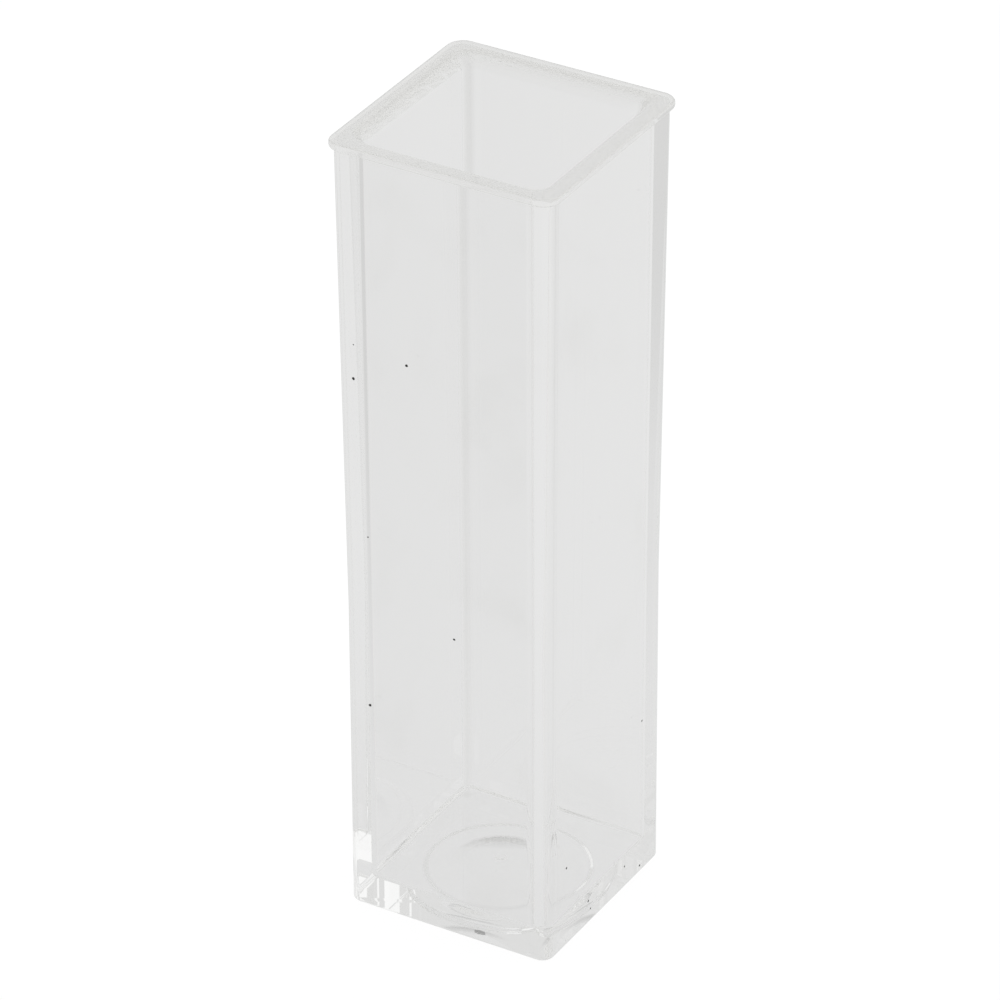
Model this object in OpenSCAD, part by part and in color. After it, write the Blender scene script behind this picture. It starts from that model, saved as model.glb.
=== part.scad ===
// Square cuvette, moulded in one piece from clear plastic: a tube that is open at the top, with
// parallel outer walls low down where the light passes, drafted outer walls above, a thin rim, a
// rounded mouth, a thick floor and a round recess with a dimple under its base.
// The origin is the middle of the base, +Z is up and all lengths are in millimetres.

/* [Cavity] */
// Distance between opposite inner walls at the floor, which is the light path
light_path = 10; // [6:0.1:40]
// Radius of the cavity's upright corners
cavity_corner_r = 0.55; // [0.2:0.05:1.5]
// Draft of the cavity's walls, in degrees from upright
cavity_draft = 0.1; // [0:0.05:0.5]
// Radius of the fillet between the cavity's floor and its walls
floor_fillet_r = 0.3; // [0.05:0.05:1]
// Radius of the rounding along the inner edge of the mouth
mouth_edge_r = 0.8; // [0.1:0.05:1.2]
// Radius of the round mark in the middle of the cavity's floor
mark_r = 0.3; // [0.1:0.05:1]
// Height of that mark above the floor
mark_h = 0.08; // [0.02:0.01:0.3]

/* [Body] */
// Height from the base to the top of the rim
height = 45; // [15:0.5:90]
// Thickness of the four walls at the base
wall_t = 1; // [0.7:0.05:4]
// Thickness of the floor
floor_t = 1.45; // [1:0.05:5]
// Height up to which the outer walls are parallel
parallel_h = 18; // [5:0.5:40]
// Draft of the outer walls above that height, in degrees from upright
body_draft = 0.54; // [0:0.02:1.5]
// Radius of the body's upright edges
body_corner_r = 0.7; // [0.2:0.05:1]
// Radius of the edge round the base
base_edge_r = 0.2; // [0.05:0.05:0.6]

/* [Rim] */
// How far the rim stands out from the body
rim_overhang = 0.25; // [0.1:0.01:3]
// Thickness of the rim
rim_t = 0.4; // [0.3:0.05:3]
// Radius of the rim's corners, seen from above
rim_corner_r = 0.95; // [0.3:0.05:3]
// Radius of the rim's upper and lower outer edges
rim_edge_r = 0.15; // [0.02:0.01:0.15]

/* [Base] */
// Narrowest width of the flat land between the body's side and the recess
foot_land = 2; // [0.5:0.05:2.4]
// Depth of the recess under the base
recess_depth = 0.2; // [0.05:0.05:0.5]
// Width of the steep wall round the recess
recess_wall = 0.1; // [0.02:0.02:0.3]
// Width of the flat ring between that wall and the dimple
ring_w = 1.05; // [0.2:0.05:1.5]
// Depth of the dimple in the middle of the recess
dimple_depth = 0.13; // [0.05:0.01:0.3]
// Width of the dimple's gentle slope
dimple_slope = 0.9; // [0.1:0.05:1.2]

/* [Hidden] */

$fn = 32;
plastic_colour = [0.90, 0.91, 0.91, 0.45];

// Overlap between joined shapes and overshoot of the cuts
overlap = 0.2;
// Thickness of the thin slices that close a block
slice_t = 0.01;
// Largest share of the rim's top, of the height or of the recess that a rounding or a zone may take
share_limit = 0.8;

body_w = light_path + 2 * wall_t;
shoulder_z = height - rim_t;
parallel_z = min(parallel_h, share_limit * shoulder_z);
rim_w = outer_w(shoulder_z) + 2 * rim_overhang;
rim_top_t = (rim_w - cavity_w(height)) / 2 - rim_edge_r;
mouth_r = min(mouth_edge_r, share_limit * rim_top_t);
recess_r = body_w / 2 - foot_land;
roof_r = recess_r - recess_wall;
dimple_r = roof_r - min(ring_w, share_limit * roof_r);
dimple_flat_r = dimple_r - min(dimple_slope, share_limit * dimple_r);
dimple_z = recess_depth + dimple_depth;

// Outer width of the body at height z above its parallel part
function outer_w(z) = body_w + 2 * tan(body_draft) * (z - parallel_z);

// Width of the cavity at height z
function cavity_w(z) = light_path + 2 * tan(cavity_draft) * (z - floor_t);

// Puts its children at the four corner centres of a square with rounded corners
module at_corners(w, r) {
    for (x = [-1, 1], y = [-1, 1])
        translate([x * (w / 2 - r), y * (w / 2 - r), 0])
            children();
}

// Round pad of radius r whose upper and lower edges are rounded by edge_r
module edge_pad(r, edge_r) {
    rotate_extrude()
        intersection() {
            translate([r - edge_r, 0])
                circle(edge_r);
            translate([0, -edge_r])
                square([r, 2 * edge_r]);
        }
}

// Corner pads of a square that stands at height z with a rounded lower edge
module foot_pads(w, r, edge_r, z) {
    pad_edge_r = min(edge_r, r);
    translate([0, 0, z + pad_edge_r])
        at_corners(w, r)
            edge_pad(r, pad_edge_r);
}

// Corner discs of a square that ends at height z
module top_discs(w, r, z) {
    translate([0, 0, z - slice_t])
        at_corners(w, r)
            cylinder(h = slice_t, r = r);
}

// Outer shape up to the rim: a parallel lower part and a drafted upper part
module body() {
    hull() {
        foot_pads(body_w, body_corner_r, base_edge_r, 0);
        top_discs(body_w, body_corner_r, parallel_z + overlap);
    }
    hull() {
        top_discs(body_w, body_corner_r, parallel_z + slice_t);
        top_discs(outer_w(height - rim_t / 2), body_corner_r, height - rim_t / 2);
    }
}

// Flat rim with rounded corners and rounded edges
module rim() {
    hull()
        for (z = [shoulder_z + rim_edge_r, height - rim_edge_r])
            translate([0, 0, z])
                at_corners(rim_w, rim_corner_r)
                    edge_pad(rim_corner_r, rim_edge_r);
}

// Space for the sample, with rounded corners and a fillet round its floor
module cavity() {
    hull() {
        foot_pads(light_path, cavity_corner_r, floor_fillet_r, floor_t);
        top_discs(cavity_w(height + overlap), cavity_corner_r, height + overlap);
    }
}

// Round bar that follows a square path with rounded corners, w across between its inner sides
module bent_bar(w, corner_r, bar_r) {
    side = w - 2 * corner_r;
    for (turn = [0:90:270])
        rotate(turn) {
            translate([side / 2, side / 2, 0])
                rotate_extrude(angle = 90)
                    translate([corner_r + bar_r, 0])
                        circle(bar_r);
            translate([w / 2 + bar_r, -side / 2, 0])
                rotate([-90, 0, 0])
                    cylinder(h = side, r = bar_r);
        }
}

// Cut that rounds the inner edge of the mouth
module mouth_rounding() {
    z = height - mouth_r;
    w = cavity_w(z);
    translate([0, 0, z])
        difference() {
            linear_extrude(height = mouth_r + overlap)
                offset(r = cavity_corner_r + mouth_r)
                    square(w - 2 * cavity_corner_r, center = true);
            bent_bar(w, cavity_corner_r, mouth_r);
        }
}

// Shallow round recess under the base, with a steep wall and a dimple in its middle
module recess() {
    rotate_extrude()
        polygon([
            [0, dimple_z],
            [dimple_flat_r, dimple_z],
            [dimple_r, recess_depth],
            [roof_r, recess_depth],
            [recess_r, 0],
            [recess_r, -overlap],
            [0, -overlap],
        ]);
}

// Low round mark that the mould's core leaves in the middle of the cavity's floor
module floor_mark() {
    translate([0, 0, floor_t - overlap])
        cylinder(h = mark_h + overlap, r = mark_r);
}

module cuvette() {
    color(plastic_colour) {
        difference() {
            union() {
                body();
                rim();
            }
            cavity();
            mouth_rounding();
            recess();
        }
        floor_mark();
    }
}

cuvette();
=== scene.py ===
"""A clear moulded cuvette on a plain pale stage, laid out as an add-on and run as a script."""

import math

import bmesh
import bpy
from mathutils import Matrix, Vector


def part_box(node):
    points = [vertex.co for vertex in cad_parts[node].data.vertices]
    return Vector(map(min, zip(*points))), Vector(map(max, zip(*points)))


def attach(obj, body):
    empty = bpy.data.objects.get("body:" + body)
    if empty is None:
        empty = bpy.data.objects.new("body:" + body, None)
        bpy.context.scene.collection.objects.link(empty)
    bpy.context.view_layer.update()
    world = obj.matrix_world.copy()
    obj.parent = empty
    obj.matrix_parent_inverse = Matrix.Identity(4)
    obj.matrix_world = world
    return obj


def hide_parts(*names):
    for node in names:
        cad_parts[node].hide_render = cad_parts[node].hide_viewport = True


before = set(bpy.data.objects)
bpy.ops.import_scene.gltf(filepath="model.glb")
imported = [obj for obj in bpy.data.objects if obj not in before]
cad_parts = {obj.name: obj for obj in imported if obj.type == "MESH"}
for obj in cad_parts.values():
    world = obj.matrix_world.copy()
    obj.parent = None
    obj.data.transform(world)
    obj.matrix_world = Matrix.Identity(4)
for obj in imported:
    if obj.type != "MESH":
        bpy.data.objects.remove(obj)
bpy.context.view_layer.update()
VESSEL_LOW, VESSEL_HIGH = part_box("cuvette")

bl_info = {
    "name": "Clear cuvette",
    "version": (1, 0, 0),
    "blender": (4, 5, 0),
    "location": "View3D > Sidebar > Cuvette",
    "description": "Models a clear square cuvette with its finish and its stage",
    "category": "Add Mesh",
}

MM = 0.001

# Steps round an upright corner, along a straight side, across a rounded edge and across the rounded mouth
CORNER_STEPS = 12
SIDE_STEPS = 16
EDGE_STEPS = 8
MOUTH_STEPS = 14

# Profile at which a bevel is round
ROUND_PROFILE = 0.5

# Two heights or places closer than this are the same one
SAME = 0.0005 * MM

# Share of a flat face's size at which a round form in it begins, and of the floor mark's foot at its top
ROUND_START = 0.5
MARK_TOP = 0.8

# Faces that meet at less than this angle are shaded as one, and large ones lead the shading
SMOOTH_ANGLE = math.radians(30.0)
LARGE_FACE_WEIGHT = 100

# Specks of dirt on the walls, and a dark spot low on the front wall that the last four make: the wall's axis
# and side, the place along it, the height and the radius in mm, and how dense the speck is
SPECKS = (
    ("y", -1, -5.10, 31.82, 0.095, 1.0),
    ("y", -1, -5.05, 33.79, 0.045, 1.0),
    ("y", -1, -1.98, 33.46, 0.085, 1.0),
    ("y", -1, 0.56, 18.14, 0.075, 1.0),
    ("y", -1, -4.50, 12.56, 0.095, 1.0),
    ("y", -1, -4.44, 22.70, 0.050, 1.0),
    ("x", 1, 3.85, 9.47, 0.065, 1.0),
    ("x", 1, -4.04, 4.86, 0.075, 1.0),
    ("x", 1, -1.74, 1.46, 0.080, 1.0),
    ("x", 1, -1.50, 0.84, 0.060, 1.0),
    ("x", 1, 2.10, 1.36, 0.065, 1.0),
    ("x", 1, 3.72, 0.47, 0.075, 1.0),
    # The last four make one dark spot low on the front wall, just above the base
    ("y", -1, 1.72, 0.62, 0.115, 0.45),
    ("y", -1, 1.88, 0.63, 0.150, 0.45),
    ("y", -1, 2.05, 0.65, 0.150, 0.45),
    ("y", -1, 2.21, 0.66, 0.115, 0.45),
)

# Outline of a speck: the grain of its noise, the share of its radius that is always dirty, how far it wanders
# and how sharp it is
SPECK_GRAIN = 9000.0
SPECK_CORE = 0.55
SPECK_WANDER = 0.9
SPECK_SHARPNESS = 4.0
# Roughness of the dark film that makes the specks of dirt, the dark spot and the painted shade in the recess
DIRT_AND_SHADE_ROUGHNESS = 0.6

# Smears: the grain of their noise, the level at which they start and how fast they rise
SMEAR_GRAIN = 160.0
SMEAR_START = 0.56
SMEAR_RISE = 5.0

# Waves of the moulded walls: the grain of their noise and their height
WAVE_GRAIN = 220.0
WAVE_HEIGHT = 0.02 * MM

# Painted shade in the recess, at the far side of the dimple: its direction from the axis, how sharp its outer
# edge is, and where it starts and how fast it rises in that direction, by the dimple's radius
RECESS_SHADE_SIDE = (-0.46, 0.89, 0.0)
RECESS_SHADE_SHARPNESS = 3.0
RECESS_SHADE_START = 0.5
RECESS_SHADE_RISE = 2.6

# Painted shade along the recess's step: its density as a share of that at the dimple, and how sharp it is
STEP_SHADE = 0.18
STEP_SHARPNESS = 2.0

# How sharply the painted shade in the recess and along its step ends above the base
BASE_SHARPNESS = 4.0

# Painted shade in the cavity's upright corners: where it starts and how fast it rises, by the corner's
# radius, and how sharply it ends towards the outer walls
CORNER_SHADE_START = 0.65
CORNER_SHADE_RISE = 2.5
CORNER_SHADE_SHARPNESS = 20.0

# The floor lies this far under the base
FLOOR_DROP = 0.02 * MM

# How sharp the edge of the light at the camera is
LAMP_SHARPNESS = 200.0

# Light that is led down the walls needs many bounces
BOUNCES = 1024

# Camera: sensor in millimetres, and nearest and farthest distance in metres
SENSOR_WIDTH = 36.0
CLIP_START = 0.01
CLIP_END = 50.0

# Soft lamps: name, bearing from the front and height over the horizon in degrees, distance, width and height
# in metres, and radiance
SOFTBOXES = (
    ("softbox_back_right", 145.0, 27.0, 1.2, 1.2, 1.0, 0.24),
    ("softbox_top_right", 45.0, 56.0, 1.2, 1.0, 0.7, 0.14),
)


def length_value(name, description, default):
    """A length in metres that the sidebar shows with its unit."""
    return bpy.props.FloatProperty(
        name=name, description=description, default=default, min=0.0, precision=5, unit="LENGTH"
    )


def share_value(name, description, default):
    """A number from 0 to 1."""
    return bpy.props.FloatProperty(
        name=name, description=description, default=default, min=0.0, max=1.0, subtype="FACTOR"
    )


def colour_value(name, description, default):
    """A colour without alpha."""
    return bpy.props.FloatVectorProperty(
        name=name, description=description, default=default, size=3, min=0.0, max=1.0, subtype="COLOR"
    )


def angle_value(name, description, degrees):
    """An angle, given here in degrees."""
    return bpy.props.FloatProperty(
        name=name, description=description, default=math.radians(degrees), subtype="ANGLE", unit="ROTATION"
    )


class VesselSizes(bpy.types.PropertyGroup):
    """Sizes of the cuvette, which agree with its solid."""

    height: length_value("Height", "From the base to the top of the rim", VESSEL_HIGH.z)
    rim_width: length_value("Rim width", "Across the rim", VESSEL_HIGH.x - VESSEL_LOW.x)
    rim_thickness: length_value("Rim thickness", "Height of the rim's side", 0.4 * MM)
    rim_corner: length_value("Rim corner", "Radius of the rim's corners from above", 0.95 * MM)
    rim_edge: length_value("Rim edge", "Radius of the rim's outer edges", 0.15 * MM)
    shoulder_width: length_value("Shoulder width", "Across the body under the rim", 12.5 * MM)
    base_width: length_value("Base width", "Across the body at its parallel lower part", 12.0 * MM)
    parallel_height: length_value("Parallel height", "Height of the parallel lower part", 18.0 * MM)
    body_corner: length_value("Body corner", "Radius of the body's upright edges", 0.7 * MM)
    base_edge: length_value("Base edge", "Radius of the edge round the base", 0.2 * MM)
    floor_thickness: length_value("Floor thickness", "From the base to the cavity's floor", 1.45 * MM)
    light_path: length_value("Light path", "Across the cavity at its floor", 10.0 * MM)
    mouth_width: length_value("Mouth width", "Across the cavity's top, without the rounding", 10.152 * MM)
    cavity_corner: length_value("Cavity corner", "Radius of the cavity's upright corners", 0.55 * MM)
    floor_fillet: length_value("Floor fillet", "Radius between the cavity's floor and walls", 0.3 * MM)
    mouth_edge: length_value("Mouth edge", "Radius of the mouth's inner edge", 0.8 * MM)
    recess_radius: length_value("Recess radius", "Radius of the recess at the base", 4.0 * MM)
    recess_roof: length_value("Recess roof", "Radius of the recess at its roof", 3.9 * MM)
    recess_depth: length_value("Recess depth", "Depth of the recess under the base", 0.2 * MM)
    dimple_radius: length_value("Dimple radius", "Outer radius of the dimple in the recess", 2.85 * MM)
    dimple_flat: length_value("Dimple flat", "Radius of the dimple's flat middle", 1.95 * MM)
    dimple_depth: length_value("Dimple depth", "Depth of the dimple beyond the recess", 0.13 * MM)
    recess_edge: length_value("Recess edge", "Radius of the recess's edge and of its corner", 0.09 * MM)
    dimple_edge: length_value("Dimple edge", "Softening of the dimple's two round edges", 0.2 * MM)
    mark_radius: length_value("Mark radius", "Radius of the round mark on the cavity's floor", 0.3 * MM)
    mark_height: length_value("Mark height", "Height of the round mark", 0.08 * MM)


class PlasticFinish(bpy.types.PropertyGroup):
    """Look of the clear plastic, of the dirt on it and of the shade painted on it."""

    clear: colour_value("Clear plastic", "Tint where light enters or leaves", (1.0, 1.0, 1.0))
    # Also the colour of the dark spot and of the painted shade in the recess and along its step
    speck: colour_value("Specks", "Colour of the dirt specks", (0.012, 0.011, 0.010))
    depth_tint: colour_value("Depth tint", "Colour of long ways through the plastic", (0.45, 0.42, 0.28))
    depth_density: bpy.props.FloatProperty(
        name="Depth density", description="How fast the depth tint builds up, per metre", default=0.5, min=0.0
    )
    ior: bpy.props.FloatProperty(
        name="Refractive index", description="Index of clear polystyrene", default=1.59, min=1.0, max=2.5
    )
    rim_frost: share_value("Rim frost", "Roughness of the rim, which is less polished than the walls", 0.12)
    smear: colour_value("Smears", "Tint of faint smears", (0.965, 0.965, 0.96))
    rim_tint: colour_value("Rim tint", "Tint where light enters or leaves the rim", (1.0, 1.0, 0.99))
    # Density of the painted shade in the recess and along its step
    recess_shade: share_value("Smudge", "How dense the smudge in the recess is", 0.23)
    # Colour of the painted shade in the cavity's upright corners
    corner_shade: colour_value("Residue", "Tint in the cavity's upright corners", (0.91, 0.91, 0.90))
    waviness: share_value("Waviness", "Strength of the moulded walls' faint waves", 0.10)


class StageLook(bpy.types.PropertyGroup):
    """Backdrop, light and camera."""

    white: colour_value("Backdrop", "What the camera sees behind the object", (1.0, 1.0, 1.0))
    # Painted light and shade on the floor, seen in the plastic: lit on the bright side, shaded on the dim
    # side and beyond
    pale: colour_value("Pale floor", "Floor on its bright side, seen in the plastic", (0.790, 0.790, 0.788))
    dim: colour_value("Dim floor", "Floor on its dim side, seen in the plastic", (0.715, 0.715, 0.713))
    far: colour_value("Far floor", "Floor farther off on that side", (0.64, 0.64, 0.635))
    bright_side: angle_value("Bright side", "Bearing of the floor's bright side", 130.0)
    spread: length_value("Spread", "From the middle to the floor's bright and dim places", 30.0 * MM)
    contact: share_value("Contact shade", "How much darker the floor is round the base", 0.006)
    fill: colour_value("Fill light", "Light from all round, as it shows in the plastic", (0.725, 0.725, 0.72))
    shade: colour_value("Shade", "Colour of the contact shade", (0.03, 0.03, 0.02))
    shadow: share_value("Shadow", "Share of the floor that takes light and shadow", 0.06)
    floor_size: length_value("Floor size", "Side of the floor", 8.0)
    azimuth: angle_value("Azimuth", "Camera's bearing round the object", 30.3498)
    elevation: angle_value("Elevation", "Camera's height over the horizon", 31.1711)
    lamp_reach: angle_value("Lamp reach", "Half width of the light at the camera", 8.0)
    roll: angle_value("Roll", "Camera's roll", -0.2137)
    distance: length_value("Distance", "From the object's middle to the camera", 342.4782 * MM)
    lens: bpy.props.FloatProperty(
        name="Lens", description="Focal length in millimetres", default=242.0612, min=10.0,
        subtype="DISTANCE_CAMERA",
    )
    shift_x: bpy.props.FloatProperty(
        name="Shift X", description="Sideways shift of the lens", default=-0.0041221
    )
    shift_y: bpy.props.FloatProperty(
        name="Shift Y", description="Upward shift of the lens", default=0.0097185
    )


class Value:
    """A number that a node gives out, for use in plain expressions."""

    def __init__(self, graph, socket):
        self.graph = graph
        self.socket = socket

    def math(self, operation, first, second=0.0, clamp=False):
        return self.graph.node(
            "ShaderNodeMath", {"operation": operation, "use_clamp": clamp}, {0: first, 1: second}
        )

    def __add__(self, other):
        return self.math("ADD", self, other)

    def __radd__(self, other):
        return self.math("ADD", other, self)

    def __sub__(self, other):
        return self.math("SUBTRACT", self, other)

    def __rsub__(self, other):
        return self.math("SUBTRACT", other, self)

    def __mul__(self, other):
        return self.math("MULTIPLY", self, other)

    def __rmul__(self, other):
        return self.math("MULTIPLY", other, self)

    def most(self, other):
        return self.math("MAXIMUM", self, other)

    def size(self):
        return self.math("ABSOLUTE", self)

    def clamped(self):
        return self.math("ADD", self, 0.0, clamp=True)


class Graph:
    """A node tree that is emptied and filled again."""

    def __init__(self, tree):
        self.tree = tree
        tree.nodes.clear()

    def node(self, kind, settings=None, sockets=None, output=0):
        """Adds a node, sets it up, fills its sockets with values or links and gives one output."""
        made = self.tree.nodes.new(kind)
        for name, setting in (settings or {}).items():
            setattr(made, name, setting)
        for key, value in (sockets or {}).items():
            if isinstance(value, Value):
                self.tree.links.new(value.socket, made.inputs[key])
            else:
                made.inputs[key].default_value = value
        return Value(self, made.outputs[output]) if len(made.outputs) else made

    def measured(self, operation, first, second=(0.0, 0.0, 0.0)):
        """Number that Vector Math gives for one or two vectors."""
        return self.node(
            "ShaderNodeVectorMath", {"operation": operation}, {0: first, 1: second}, output="Value"
        )

    def along(self, axis, place):
        """One coordinate of a place."""
        return self.node("ShaderNodeSeparateXYZ", {}, {0: place}, output=axis)

    def mixed(self, factor, first, second):
        """Colour that goes from the first to the second as the factor rises."""
        # Mix has sockets of the same names for each type of data, so those for colours go by number
        return self.node(
            "ShaderNodeMix", {"data_type": "RGBA"}, {0: factor, 6: first, 7: second}, output=2
        )


def rgba(colour):
    """A colour with full alpha."""
    return (*colour, 1.0)


def same(a, b):
    """True if two lengths are the same one."""
    return abs(a - b) < SAME


def select_parts(mesh, kind, test):
    """Selects the faces or edges that pass a test, and nothing else."""
    bpy.ops.mesh.select_all(action="DESELECT")
    bpy.ops.mesh.select_mode(type=kind)
    shape = bmesh.from_edit_mesh(mesh)
    chosen = [part for part in (shape.faces if kind == "FACE" else shape.edges) if test(part)]
    for part in chosen:
        part.select_set(True)
    shape.select_flush_mode()
    bmesh.update_edit_mesh(mesh)
    if not chosen:
        raise RuntimeError(f"nothing to select on {mesh.name}")


def lies_at(part, z):
    """True if every corner of an edge or a face is at height z."""
    return all(same(v.co.z, z) for v in part.verts)


def touches(edge, z):
    """True if a face beside the edge reaches height z."""
    return any(same(v.co.z, z) for face in edge.link_faces for v in face.verts)


def round_square(mesh, width, corner, z):
    """Rounds the corners of the square that lies selected at height z, and divides its sides."""
    bpy.ops.mesh.bevel(
        offset=corner, offset_type="OFFSET", segments=CORNER_STEPS, profile=ROUND_PROFILE, affect="VERTICES"
    )
    straight = width - 2 * corner
    select_parts(
        mesh, "EDGE",
        lambda edge: len(edge.link_faces) == 1 and lies_at(edge, z) and same(edge.calc_length(), straight),
    )
    bpy.ops.mesh.subdivide(number_cuts=SIDE_STEPS - 1)
    select_parts(
        mesh, "FACE",
        lambda face: lies_at(face, z) and all(len(edge.link_faces) == 1 for edge in face.edges),
    )


def add_rounded_square(mesh, width, corner, z):
    """Adds a flat square with rounded corners to the mesh in edit mode, and leaves it selected."""
    bpy.ops.mesh.primitive_plane_add(size=width, location=(0.0, 0.0, z))
    round_square(mesh, width, corner, z)


def scale_by(scale):
    """Scales the selection about the upright axis."""
    bpy.ops.transform.resize(value=(scale, scale, 1.0), center_override=(0.0, 0.0, 0.0))


def extrude_to(rise, scale=1.0):
    """Extrudes the selection by a rise and scales its end about the axis."""
    bpy.ops.mesh.extrude_region_move(TRANSFORM_OT_translate={"value": (0.0, 0.0, rise)})
    scale_by(scale)


def open_face(mesh, test):
    """Takes out a face and leaves its edges."""
    select_parts(mesh, "FACE", test)
    bpy.ops.mesh.delete(type="ONLY_FACE")


def bridge_edges(mesh, test):
    """Joins two loops of open edges by a band of faces."""
    select_parts(mesh, "EDGE", lambda edge: len(edge.link_faces) < 2 and test(edge))
    bpy.ops.mesh.bridge_edge_loops()


def round_edges(mesh, radius, steps, test):
    """Rounds the chosen edges to a radius."""
    select_parts(mesh, "EDGE", test)
    bpy.ops.mesh.bevel(
        offset=radius, offset_type="OFFSET", segments=steps, profile=ROUND_PROFILE, affect="EDGES",
        clamp_overlap=False, loop_slide=False,
    )


def selected_radius(mesh):
    """Mean distance of the selected corners from the upright axis."""
    shape = bmesh.from_edit_mesh(mesh)
    chosen = [v.co.xy.length for v in shape.verts if v.select]
    return sum(chosen) / len(chosen)


def set_round_form(mesh, z, radius, end_radius, rise):
    """Sets a round form in the flat face at height z: a circle drawn in it, then raised to a flat end."""
    select_parts(mesh, "FACE", lambda face: lies_at(face, z) and len(face.verts) > 4)
    extrude_to(0.0, ROUND_START)
    bpy.ops.transform.tosphere(value=1.0)
    scale_by(radius / selected_radius(mesh))
    extrude_to(rise, end_radius / radius)


def on_circle(edge, radius, z):
    """True if an edge runs round the axis at a radius and a height."""
    return lies_at(edge, z) and all(same(v.co.xy.length, radius) for v in edge.verts)


def model_vessel(sizes):
    """Models the cuvette from its base up over the rim and down into the cavity."""
    bpy.ops.object.select_all(action="DESELECT")
    bpy.ops.mesh.primitive_plane_add(size=sizes.base_width, location=(0.0, 0.0, 0.0))
    vessel = bpy.context.object
    vessel.name = vessel.data.name = "cuvette_vessel"
    mesh = vessel.data
    top = sizes.height
    shoulder = top - sizes.rim_thickness
    floor = sizes.floor_thickness

    # Body: the parallel part, then the drafted part up to the shoulder
    bpy.ops.object.mode_set(mode="EDIT")
    bpy.ops.mesh.select_all(action="SELECT")
    round_square(mesh, sizes.base_width, sizes.body_corner, 0.0)
    extrude_to(sizes.parallel_height)
    extrude_to(shoulder - sizes.parallel_height, sizes.shoulder_width / sizes.base_width)
    open_face(mesh, lambda face: lies_at(face, shoulder))

    # Rim: a slab whose underside is joined to the body
    add_rounded_square(mesh, sizes.rim_width, sizes.rim_corner, shoulder)
    extrude_to(sizes.rim_thickness)
    open_face(mesh, lambda face: lies_at(face, shoulder))
    open_face(mesh, lambda face: lies_at(face, top))
    bridge_edges(mesh, lambda edge: lies_at(edge, shoulder))

    # Cavity: sunk from the mouth to the floor, and joined to the rim's top
    add_rounded_square(mesh, sizes.mouth_width, sizes.cavity_corner, top)
    extrude_to(floor - top, sizes.light_path / sizes.mouth_width)
    open_face(mesh, lambda face: lies_at(face, top))
    bridge_edges(mesh, lambda edge: lies_at(edge, top))

    # Rounded edges, from the base to the floor of the cavity
    round_edges(mesh, sizes.base_edge, EDGE_STEPS, lambda edge: lies_at(edge, 0.0))
    round_edges(
        mesh, sizes.rim_edge, EDGE_STEPS,
        lambda edge: (lies_at(edge, shoulder) and touches(edge, top))
        or (lies_at(edge, top) and touches(edge, shoulder)),
    )
    round_edges(mesh, sizes.mouth_edge, MOUTH_STEPS, lambda edge: lies_at(edge, top) and touches(edge, floor))
    round_edges(mesh, sizes.floor_fillet, EDGE_STEPS, lambda edge: lies_at(edge, floor))

    # Stepped recess under the base, with a dimple in its middle
    step, deep = sizes.recess_depth, sizes.recess_depth + sizes.dimple_depth
    set_round_form(mesh, 0.0, sizes.recess_radius, sizes.recess_roof, step)
    extrude_to(0.0, sizes.dimple_radius / sizes.recess_roof)
    extrude_to(sizes.dimple_depth, sizes.dimple_flat / sizes.dimple_radius)
    round_edges(
        mesh, sizes.recess_edge, EDGE_STEPS,
        lambda edge: on_circle(edge, sizes.recess_radius, 0.0)
        or on_circle(edge, sizes.recess_roof, step),
    )
    round_edges(
        mesh, sizes.dimple_edge, EDGE_STEPS,
        lambda edge: on_circle(edge, sizes.dimple_radius, step) or on_circle(edge, sizes.dimple_flat, deep),
    )

    # Low mark in the middle of the cavity's floor
    set_round_form(mesh, floor, sizes.mark_radius, MARK_TOP * sizes.mark_radius, sizes.mark_height)

    bpy.ops.mesh.select_all(action="SELECT")
    bpy.ops.mesh.remove_doubles(threshold=SAME)
    bpy.ops.mesh.normals_make_consistent(inside=False)
    bpy.ops.object.mode_set(mode="OBJECT")
    bpy.ops.object.shade_smooth_by_angle(angle=SMOOTH_ANGLE)
    weighted = vessel.modifiers.new("even_normals", "WEIGHTED_NORMAL")
    weighted.mode = "FACE_AREA"
    weighted.weight = LARGE_FACE_WEIGHT
    weighted.keep_sharp = True
    bpy.ops.object.modifier_apply(modifier=weighted.name)
    return vessel


def speck_mask(graph, place, sizes):
    """Density of the specks of dirt and of the dark spot low on the front wall, which have uneven outlines.
    """
    wander = graph.node(
        "ShaderNodeTexNoise", {"noise_dimensions": "3D"},
        {"Vector": place, "Scale": SPECK_GRAIN, "Detail": 1.0},
    )
    mask = None
    lean = (sizes.shoulder_width - sizes.base_width) / 2 / (
        sizes.height - sizes.rim_thickness - sizes.parallel_height
    )
    for axis, side, along, height, radius, density in SPECKS:
        z = height * MM
        face = side * (sizes.base_width / 2 + lean * max(0.0, z - sizes.parallel_height))
        spot = (along * MM, face, z) if axis == "y" else (face, along * MM, z)
        away = graph.measured("DISTANCE", place, spot)
        reach = radius * MM
        inside = (SPECK_CORE + SPECK_WANDER * wander) - away * (1.0 / reach)
        dot = (inside * SPECK_SHARPNESS).clamped() * density
        mask = dot if mask is None else mask.most(dot)
    return mask


def recess_shade_mask(graph, place, height, sizes):
    """Density of the painted shade at the far side of the dimple and along the recess's step."""
    level = graph.node("ShaderNodeVectorMath", {"operation": "MULTIPLY"}, {0: place, 1: (1.0, 1.0, 0.0)})
    off = graph.measured("LENGTH", level)
    side = graph.measured("DOT_PRODUCT", place, RECESS_SHADE_SIDE)
    edge = (sizes.dimple_radius - off) * (RECESS_SHADE_SHARPNESS / (sizes.dimple_radius - sizes.dimple_flat))
    arc = (side - RECESS_SHADE_START * sizes.dimple_radius) * (RECESS_SHADE_RISE / sizes.dimple_radius)
    low = (sizes.floor_thickness - height) * (BASE_SHARPNESS / sizes.floor_thickness)
    # Painted shade along the recess's step
    step_middle = (sizes.recess_radius + sizes.recess_roof) / 2
    step = 1.0 - (off - step_middle).size() * (1.0 / sizes.recess_depth)
    step_shade = STEP_SHADE * (STEP_SHARPNESS * step).clamped()
    return (edge.clamped() * arc.clamped()).most(step_shade) * low.clamped()


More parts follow.
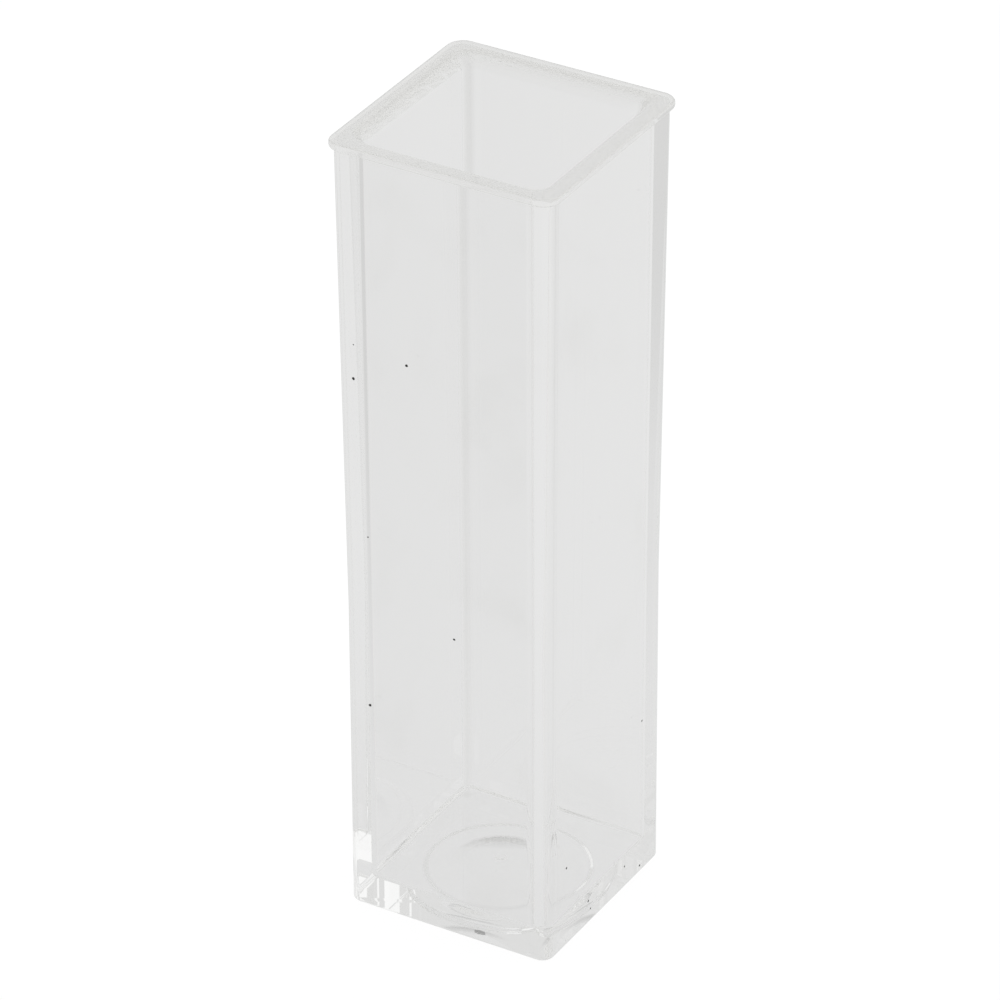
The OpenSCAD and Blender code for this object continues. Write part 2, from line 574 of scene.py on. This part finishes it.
def corner_mask(graph, place, sizes):
    """Highest in the middle of the cavity's upright corners, and 0 elsewhere."""
    x, y = (graph.along(axis, place).size() for axis in "XY")
    start = sizes.light_path / 2 - CORNER_SHADE_START * sizes.cavity_corner
    rise = CORNER_SHADE_RISE / sizes.cavity_corner
    wall = sizes.base_width / 2 - sizes.body_corner
    inside = (wall - x.most(y)) * (CORNER_SHADE_SHARPNESS / sizes.body_corner)
    return ((x - start) * rise).clamped() * ((y - start) * rise).clamped() * inside.clamped()


def plastic_material(finish, sizes):
    """Clear moulded plastic with faint waves and smears, specks, a dark spot, and painted shade in recess and
    corners.
    """
    material = bpy.data.materials.new("clear_moulded_plastic")
    material.use_nodes = True
    graph = Graph(material.node_tree)
    place = graph.node("ShaderNodeTexCoord", output="Object")
    specks = speck_mask(graph, place, sizes)
    smears = graph.node(
        "ShaderNodeTexNoise", {"noise_dimensions": "3D"},
        {"Vector": place, "Scale": SMEAR_GRAIN, "Detail": 4.0, "Roughness": 0.55},
    )
    smears = ((smears - SMEAR_START) * SMEAR_RISE).clamped()
    waves = graph.node(
        "ShaderNodeTexNoise", {"noise_dimensions": "3D"},
        {"Vector": place, "Scale": WAVE_GRAIN, "Detail": 1.0, "Roughness": 0.4},
    )
    bump = graph.node(
        "ShaderNodeBump", {}, {"Strength": finish.waviness, "Distance": WAVE_HEIGHT, "Height": waves}
    )
    height = graph.along("Z", place)
    rim = ((height - (sizes.height - sizes.mouth_edge)) * (1.0 / sizes.rim_thickness)).clamped()
    tint = graph.mixed(smears, rgba(finish.clear), rgba(finish.smear))
    tint = graph.mixed(rim, tint, rgba(finish.rim_tint))
    # Painted shade in the cavity's upright corners
    tint = graph.mixed(corner_mask(graph, place, sizes), tint, rgba(finish.corner_shade))
    plastic = graph.node(
        "ShaderNodeBsdfPrincipled", {},
        {
            "Base Color": tint,
            "Roughness": finish.rim_frost * rim,
            "IOR": finish.ior,
            "Transmission Weight": 1.0,
            "Normal": bump,
        },
    )
    depth = graph.node(
        "ShaderNodeVolumeAbsorption", {},
        {"Color": rgba(finish.depth_tint), "Density": finish.depth_density},
    )
    # Dark film for the specks of dirt, the dark spot, and the painted shade in the recess and along its step
    dirt = graph.node(
        "ShaderNodeBsdfPrincipled", {}, {"Base Color": rgba(finish.speck), "Roughness": DIRT_AND_SHADE_ROUGHNESS}
    )
    dirt_and_shade = specks.most(finish.recess_shade * recess_shade_mask(graph, place, height, sizes))
    surface = graph.node("ShaderNodeMixShader", {}, {0: dirt_and_shade, 1: plastic, 2: dirt})
    graph.node("ShaderNodeOutputMaterial", {}, {"Surface": surface, "Volume": depth})
    return material


def outward(azimuth, elevation):
    """Direction with a bearing from the front and a height over the horizon."""
    return Vector((
        math.sin(azimuth) * math.cos(elevation), -math.cos(azimuth) * math.cos(elevation), math.sin(elevation)
    ))


def surround_colour(graph, look, direction):
    """Even fill light with a small bright place where the camera stands."""
    facing = graph.measured("DOT_PRODUCT", direction, outward(look.azimuth, look.elevation))
    brightness = ((facing - math.cos(look.lamp_reach)) * LAMP_SHARPNESS).clamped()
    return graph.mixed(brightness, rgba(look.fill), rgba(look.white))


def backdrop_colour(graph, look, seen_in_plastic):
    """White for the camera, the backdrop's pale tones in and through the plastic, else plain fill light."""
    to_camera, mirrored, through = (
        graph.node("ShaderNodeLightPath", output=ray)
        for ray in ("Is Camera Ray", "Is Glossy Ray", "Is Transmission Ray")
    )
    shade = graph.mixed(mirrored.most(through), rgba(look.fill), seen_in_plastic)
    return graph.mixed(to_camera, shade, rgba(look.white))


def set_world(look):
    """White behind the object for the camera, and a pale surround in and through the plastic."""
    world = bpy.data.worlds.new("studio_surround")
    bpy.context.scene.world = world
    world.use_nodes = True
    graph = Graph(world.node_tree)
    direction = graph.node("ShaderNodeTexCoord", output="Generated")
    shade = backdrop_colour(graph, look, surround_colour(graph, look, direction))
    backdrop = graph.node("ShaderNodeBackground", {}, {"Color": shade, "Strength": 1.0})
    graph.node("ShaderNodeOutputWorld", {}, {"Surface": backdrop})


def floor_colour(graph, look, reach):
    """Floor with painted light on its bright side, painted shade on its dim side and near the base up to a
    reach.
    """
    place = graph.node("ShaderNodeTexCoord", output="Object")
    # Painted light towards the bright side, and painted shade towards the dim side and farther off
    level = graph.measured("DOT_PRODUCT", place, outward(look.bright_side, 0.0)) * (1.0 / look.spread)
    lit_and_shaded_floor = graph.mixed((0.5 + 0.5 * level).clamped(), rgba(look.dim), rgba(look.pale))
    lit_and_shaded_floor = graph.mixed((-1.0 - level).clamped(), lit_and_shaded_floor, rgba(look.far))
    x, y = (graph.along(axis, place).size() for axis in "XY")
    near = (2.0 - x.most(y) * (1.0 / reach)).clamped()
    return graph.mixed(near * look.contact, lit_and_shaded_floor, rgba(look.shade))


def floor_material(look, reach):
    """Pale floor that reads as the backdrop and keeps a soft shadow."""
    material = bpy.data.materials.new("pale_floor")
    material.use_nodes = True
    graph = Graph(material.node_tree)
    shade = backdrop_colour(graph, look, floor_colour(graph, look, reach))
    glow = graph.node("ShaderNodeEmission", {}, {"Color": shade, "Strength": 1.0 + look.shadow / 2})
    paint = graph.node("ShaderNodeBsdfDiffuse", {}, {"Color": shade})
    both = graph.node("ShaderNodeMixShader", {}, {0: look.shadow, 1: glow, 2: paint})
    graph.node("ShaderNodeOutputMaterial", {}, {"Surface": both})
    return material


def add_softbox(name, place, aim, width, height, radiance):
    """Adds a rectangular soft lamp that shines at a point with a plain radiance."""
    bpy.ops.object.light_add(type="AREA", location=place)
    lamp = bpy.context.object
    lamp.name = lamp.data.name = name
    lamp.data.shape = "RECTANGLE"
    lamp.data.size = width
    lamp.data.size_y = height
    lamp.data.energy = radiance * math.pi * width * height
    lamp.rotation_mode = "QUATERNION"
    lamp.rotation_quaternion = (aim - place).to_track_quat("-Z", "Y")


def add_camera(look, middle):
    """Adds the camera at the photograph's viewing angle."""
    back = outward(look.azimuth, look.elevation)
    right = (-back).cross(Vector((0.0, 0.0, 1.0))).normalized()
    up = right.cross(-back)
    turn = Matrix((
        math.cos(look.roll) * right + math.sin(look.roll) * up,
        math.cos(look.roll) * up - math.sin(look.roll) * right,
        back,
    )).transposed()
    bpy.ops.object.camera_add(location=middle + back * look.distance)
    camera = bpy.context.object
    camera.name = camera.data.name = "photo_camera"
    camera.rotation_mode = "QUATERNION"
    camera.rotation_quaternion = turn.to_quaternion()
    camera.data.sensor_width = SENSOR_WIDTH
    camera.data.lens = look.lens
    camera.data.shift_x = look.shift_x
    camera.data.shift_y = look.shift_y
    camera.data.clip_start = CLIP_START
    camera.data.clip_end = CLIP_END
    bpy.context.scene.camera = camera


class CUVETTE_OT_model_vessel(bpy.types.Operator):
    """Model the clear vessel in place of its plain solid"""

    bl_idname = "cuvette.model_vessel"
    bl_label = "Model the vessel"

    def execute(self, context):
        sizes, finish = context.scene.cuvette_sizes, context.scene.cuvette_finish
        vessel = model_vessel(sizes)
        vessel.data.materials.append(plastic_material(finish, sizes))
        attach(vessel, "root")
        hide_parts("cuvette")
        return {"FINISHED"}


class CUVETTE_OT_set_stage(bpy.types.Operator):
    """Set the floor, the light and the camera"""

    bl_idname = "cuvette.set_stage"
    bl_label = "Set the stage"

    def execute(self, context):
        look, scene = context.scene.cuvette_stage, context.scene
        bpy.ops.object.select_all(action="DESELECT")
        bpy.ops.mesh.primitive_plane_add(size=look.floor_size, location=(0.0, 0.0, -FLOOR_DROP))
        floor = context.object
        floor.name = floor.data.name = "stage_floor"
        floor.data.materials.append(floor_material(look, scene.cuvette_sizes.base_width / 2))
        set_world(look)
        middle = Vector((0.0, 0.0, scene.cuvette_sizes.height / 2))
        for name, azimuth, elevation, distance, width, height, radiance in SOFTBOXES:
            place = middle + outward(math.radians(azimuth), math.radians(elevation)) * distance
            add_softbox(name, place, middle, width, height, radiance)
        add_camera(look, middle)
        scene.view_settings.view_transform = "Standard"
        scene.cycles.max_bounces = BOUNCES
        scene.cycles.glossy_bounces = BOUNCES
        scene.cycles.transmission_bounces = BOUNCES
        return {"FINISHED"}


class CUVETTE_PT_sidebar(bpy.types.Panel):
    """Sizes, colours and steps of the cuvette"""

    bl_idname = "CUVETTE_PT_sidebar"
    bl_label = "Cuvette"
    bl_space_type = "VIEW_3D"
    bl_region_type = "UI"
    bl_category = "Cuvette"

    def draw(self, context):
        scene = context.scene
        for group in (scene.cuvette_sizes, scene.cuvette_finish, scene.cuvette_stage):
            column = self.layout.column(align=True)
            for name in group.bl_rna.properties.keys():
                if name not in ("rna_type", "name"):
                    column.prop(group, name)
        self.layout.operator(CUVETTE_OT_model_vessel.bl_idname)
        self.layout.operator(CUVETTE_OT_set_stage.bl_idname)


CLASSES = (
    VesselSizes,
    PlasticFinish,
    StageLook,
    CUVETTE_OT_model_vessel,
    CUVETTE_OT_set_stage,
    CUVETTE_PT_sidebar,
)


def register():
    """Adds the classes and gives each scene its sizes, finish and stage."""
    for made in CLASSES:
        bpy.utils.register_class(made)
    bpy.types.Scene.cuvette_sizes = bpy.props.PointerProperty(type=VesselSizes)
    bpy.types.Scene.cuvette_finish = bpy.props.PointerProperty(type=PlasticFinish)
    bpy.types.Scene.cuvette_stage = bpy.props.PointerProperty(type=StageLook)


def unregister():
    """Takes out what register adds."""
    del bpy.types.Scene.cuvette_stage
    del bpy.types.Scene.cuvette_finish
    del bpy.types.Scene.cuvette_sizes
    for made in reversed(CLASSES):
        bpy.utils.unregister_class(made)


def main():
    """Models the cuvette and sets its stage."""
    register()
    bpy.ops.cuvette.model_vessel()
    bpy.ops.cuvette.set_stage()


if __name__ == "__main__":
    main()
